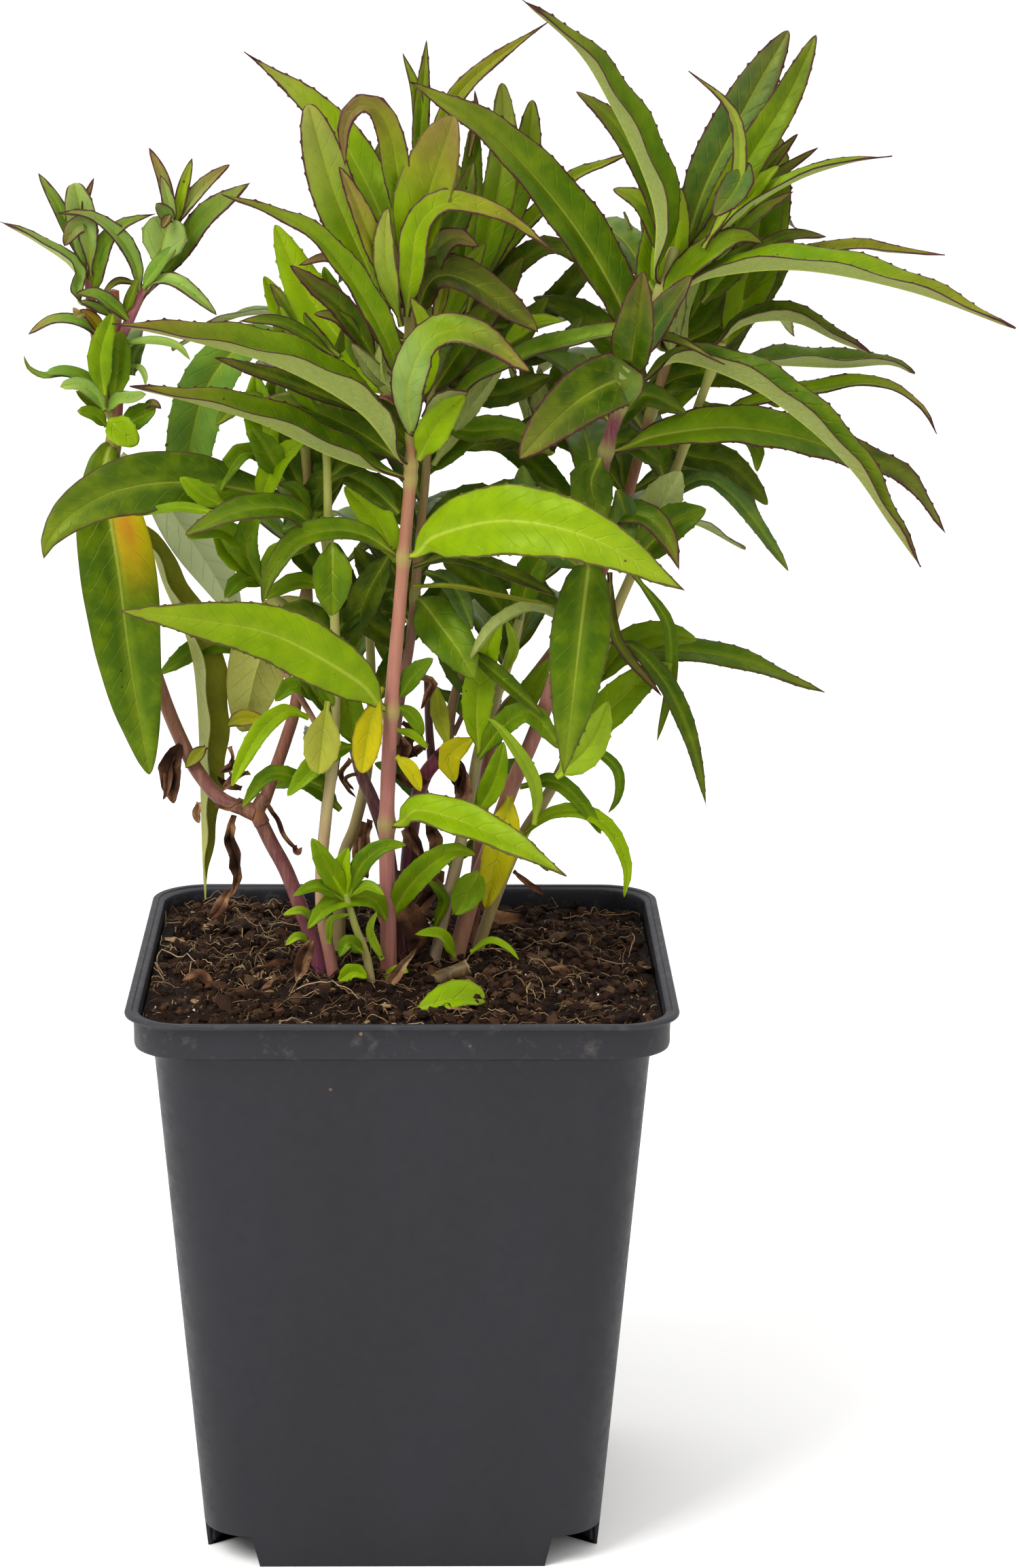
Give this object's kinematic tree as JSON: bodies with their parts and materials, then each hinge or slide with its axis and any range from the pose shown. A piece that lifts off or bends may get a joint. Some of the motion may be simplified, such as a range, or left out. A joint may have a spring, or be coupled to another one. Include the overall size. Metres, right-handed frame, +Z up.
{
  "type": "potted penstemon",
  "caption": "Leafy young penstemon with upright reddish stems and long pointed toothed leaves, in a square tapered black nursery pot of soil.",
  "frame": {"origin": "on the ground plane, under the middle of the pot", "axes": "+Z up, the front of the plant faces -Y, +X to the front's right"},
  "size_m": [0.1986, 0.1134, 0.316],
  "materials": {
    "pot_plastic": "satin",
    "potting_soil": "matte",
    "stem": "satin",
    "old_wood": "matte",
    "leaf": "satin"
  },
  "bodies": {
    "root": {"back_leaf_1": "leaf", "back_leaf_2": "leaf", "back_left_leaf_1": "leaf", "back_left_leaf_2": "leaf", "back_left_stem": "stem", "back_right_leaf_1": "leaf", "back_right_leaf_2": "leaf", "back_right_stem": "stem", "back_stem": "stem", "basal_shoot_stem": "stem", "centre_pale_stem": "stem", "cut_stump": "old_wood", "front_leaf_arch": "leaf", "front_leaf_bright": "leaf", "front_leaf_left": "leaf", "front_leaf_long_left": "leaf", "front_leaf_low": "leaf", "front_leaf_right": "leaf", "front_leaf_second_left": "leaf", "front_leaf_upper_left": "leaf", "front_stem": "stem", "left_branch_stem": "stem", "left_leaf_blotched": "leaf", "left_leaf_dark": "leaf", "left_leaf_hanging": "leaf", "left_leaf_pale": "leaf", "left_leaf_small": "leaf", "left_low_stem": "stem", "left_shoot_leaf": "leaf", "left_top_leaf": "leaf", "nursery_pot": "pot_plastic", "outer_leaf_bright": "leaf", "outer_leaf_dark": "leaf", "outer_leaf_drooping": "leaf", "outer_leaf_low": "leaf", "outer_leaf_upright": "leaf", "pale_left_stem": "stem", "pale_outer_stem": "stem", "pale_right_stem": "stem", "potting_soil": "potting_soil", "purple_right_stem": "stem", "rear_leaf_upright": "leaf", "right_branch_stem": "stem", "right_leaf_arch": "leaf", "right_leaf_broad": "leaf", "right_leaf_dark": "leaf", "right_leaf_hanging": "leaf", "right_leaf_long": "leaf", "right_leaf_raised": "leaf", "right_rear_stem": "stem", "right_top_leaf_dark": "leaf", "right_top_leaf_tall": "leaf", "right_top_leaf_wide": "leaf", "right_torn_leaf": "leaf", "second_leaf_long": "leaf", "second_leaf_low": "leaf", "second_stem": "stem", "top_leaf_broad": "leaf", "top_leaf_left": "leaf", "top_leaf_right": "leaf"}
  },
  "joints": []
}
